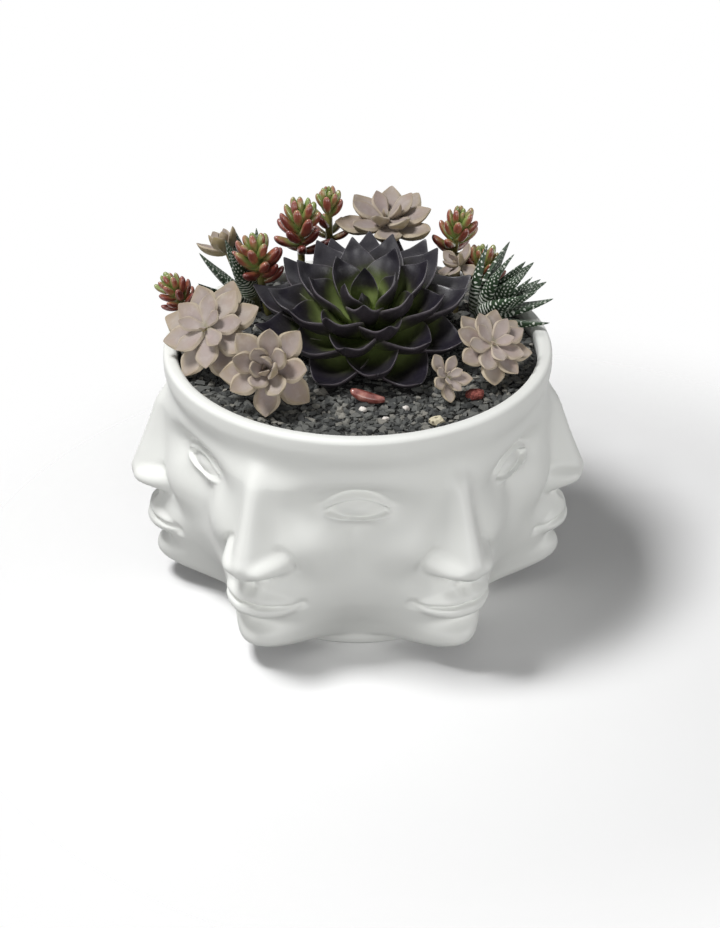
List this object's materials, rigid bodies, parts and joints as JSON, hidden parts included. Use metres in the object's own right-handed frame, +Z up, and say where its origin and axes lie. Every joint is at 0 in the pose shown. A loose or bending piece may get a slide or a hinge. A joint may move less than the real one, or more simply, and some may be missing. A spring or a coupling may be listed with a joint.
{
  "type": "planted face bowl planter",
  "caption": "Round white porcelain planter whose wall is a ring of calm faces sharing their eyes, planted with a mixed bed of succulents in dark grit.",
  "frame": {"origin": "middle of the bowl's foot, on the table", "axes": "+Z up, -Y towards the picture's camera, where a shared eye faces; noses at 0, 60, 120 ... degrees from +X"},
  "size_m": [0.2578, 0.2266, 0.2023],
  "materials": {
    "porcelain": "matte white, fine smooth surface",
    "screen_plastic": "moulded mesh",
    "drainage_gravel": "rounded gravel",
    "potting_soil": "dark gritty soil",
    "lava_grit": "angular dark grit",
    "echeveria_leaf": "waxy near-black violet, green at the base",
    "ghost_leaf": "powdery grey-pink with tan tips",
    "stonecrop_leaf": "glossy, green centre turning red-brown",
    "zebra_leaf": "dark green with raised white bands",
    "red_leaf": "glossy dark red",
    "lava_rock": "rough red-brown",
    "cream_rock": "pitted cream",
    "pale_rock": "smooth white and pink"
  },
  "bodies": {
    "root": {"bowl": "porcelain", "drain_screen": "screen_plastic", "drainage_gravel": "drainage_gravel", "potting_soil": "potting_soil", "top_grit": "lava_grit", "echeveria": "echeveria_leaf", "fallen_leaf": "red_leaf", "lava_stone": "lava_rock", "cream_stone": "cream_rock", "pale_pebbles": "pale_rock", "ghost_plant_left": "ghost_leaf", "ghost_plant_front_left": "ghost_leaf", "ghost_plant_back": "ghost_leaf", "ghost_plant_back_right": "ghost_leaf", "ghost_plant_front_right": "ghost_leaf", "ghost_plant_front": "ghost_leaf", "ghost_plant_far_left": "ghost_leaf", "stonecrop_far_left": "stonecrop_leaf", "stonecrop_left": "stonecrop_leaf", "stonecrop_back_left": "stonecrop_leaf", "stonecrop_back": "stonecrop_leaf", "stonecrop_back_right": "stonecrop_leaf", "stonecrop_right": "stonecrop_leaf", "zebra_plant_left": "zebra_leaf", "zebra_plant_right": "zebra_leaf"}
  },
  "joints": []
}
